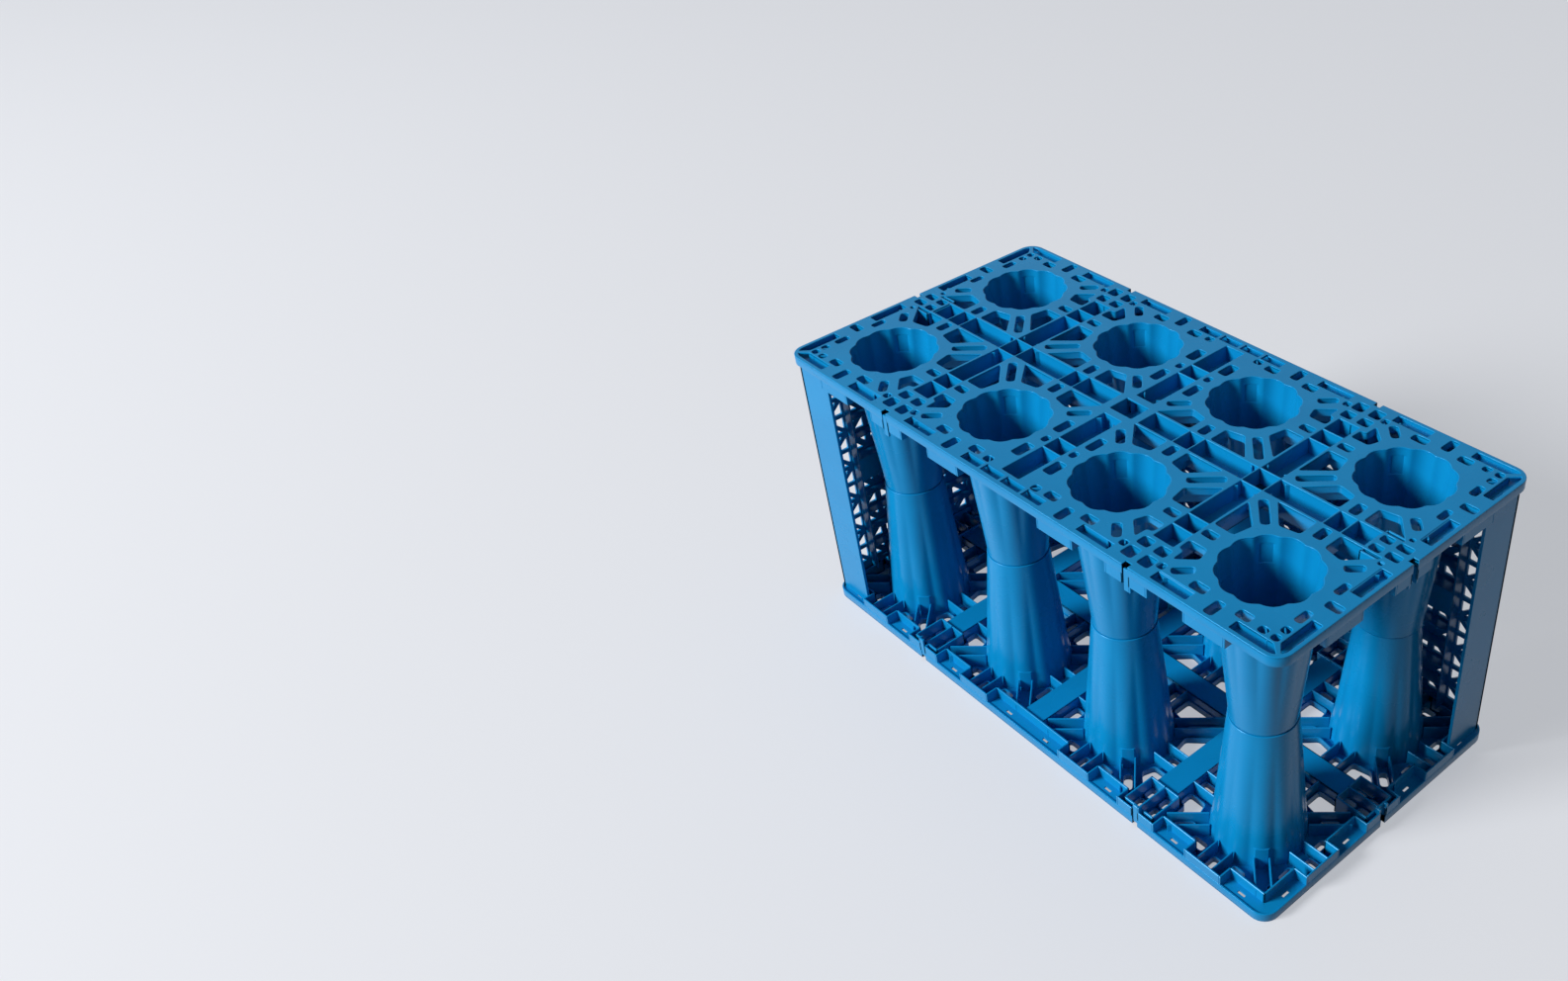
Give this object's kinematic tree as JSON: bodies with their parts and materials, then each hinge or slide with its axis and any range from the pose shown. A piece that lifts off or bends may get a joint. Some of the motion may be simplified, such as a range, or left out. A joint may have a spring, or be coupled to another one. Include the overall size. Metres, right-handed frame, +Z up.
{
  "type": "soakaway crate",
  "caption": "Open plastic stormwater crate: two perforated decks joined by hollow tapered columns that plug together, with braced panels on two sides.",
  "frame": {"origin": "middle of the underside, on the ground", "axes": "+X along the module towards its open end, +Y towards the closed long side, +Z up"},
  "size_m": [1.2, 0.6, 0.58],
  "materials": {
    "blue_plastic": "satin moulded polypropylene, mid blue"
  },
  "bodies": {
    "root": {"lower_half": "blue_plastic", "upper_half": "blue_plastic", "end_panel": "blue_plastic", "back_panel_left": "blue_plastic", "back_panel_right": "blue_plastic"}
  },
  "joints": []
}
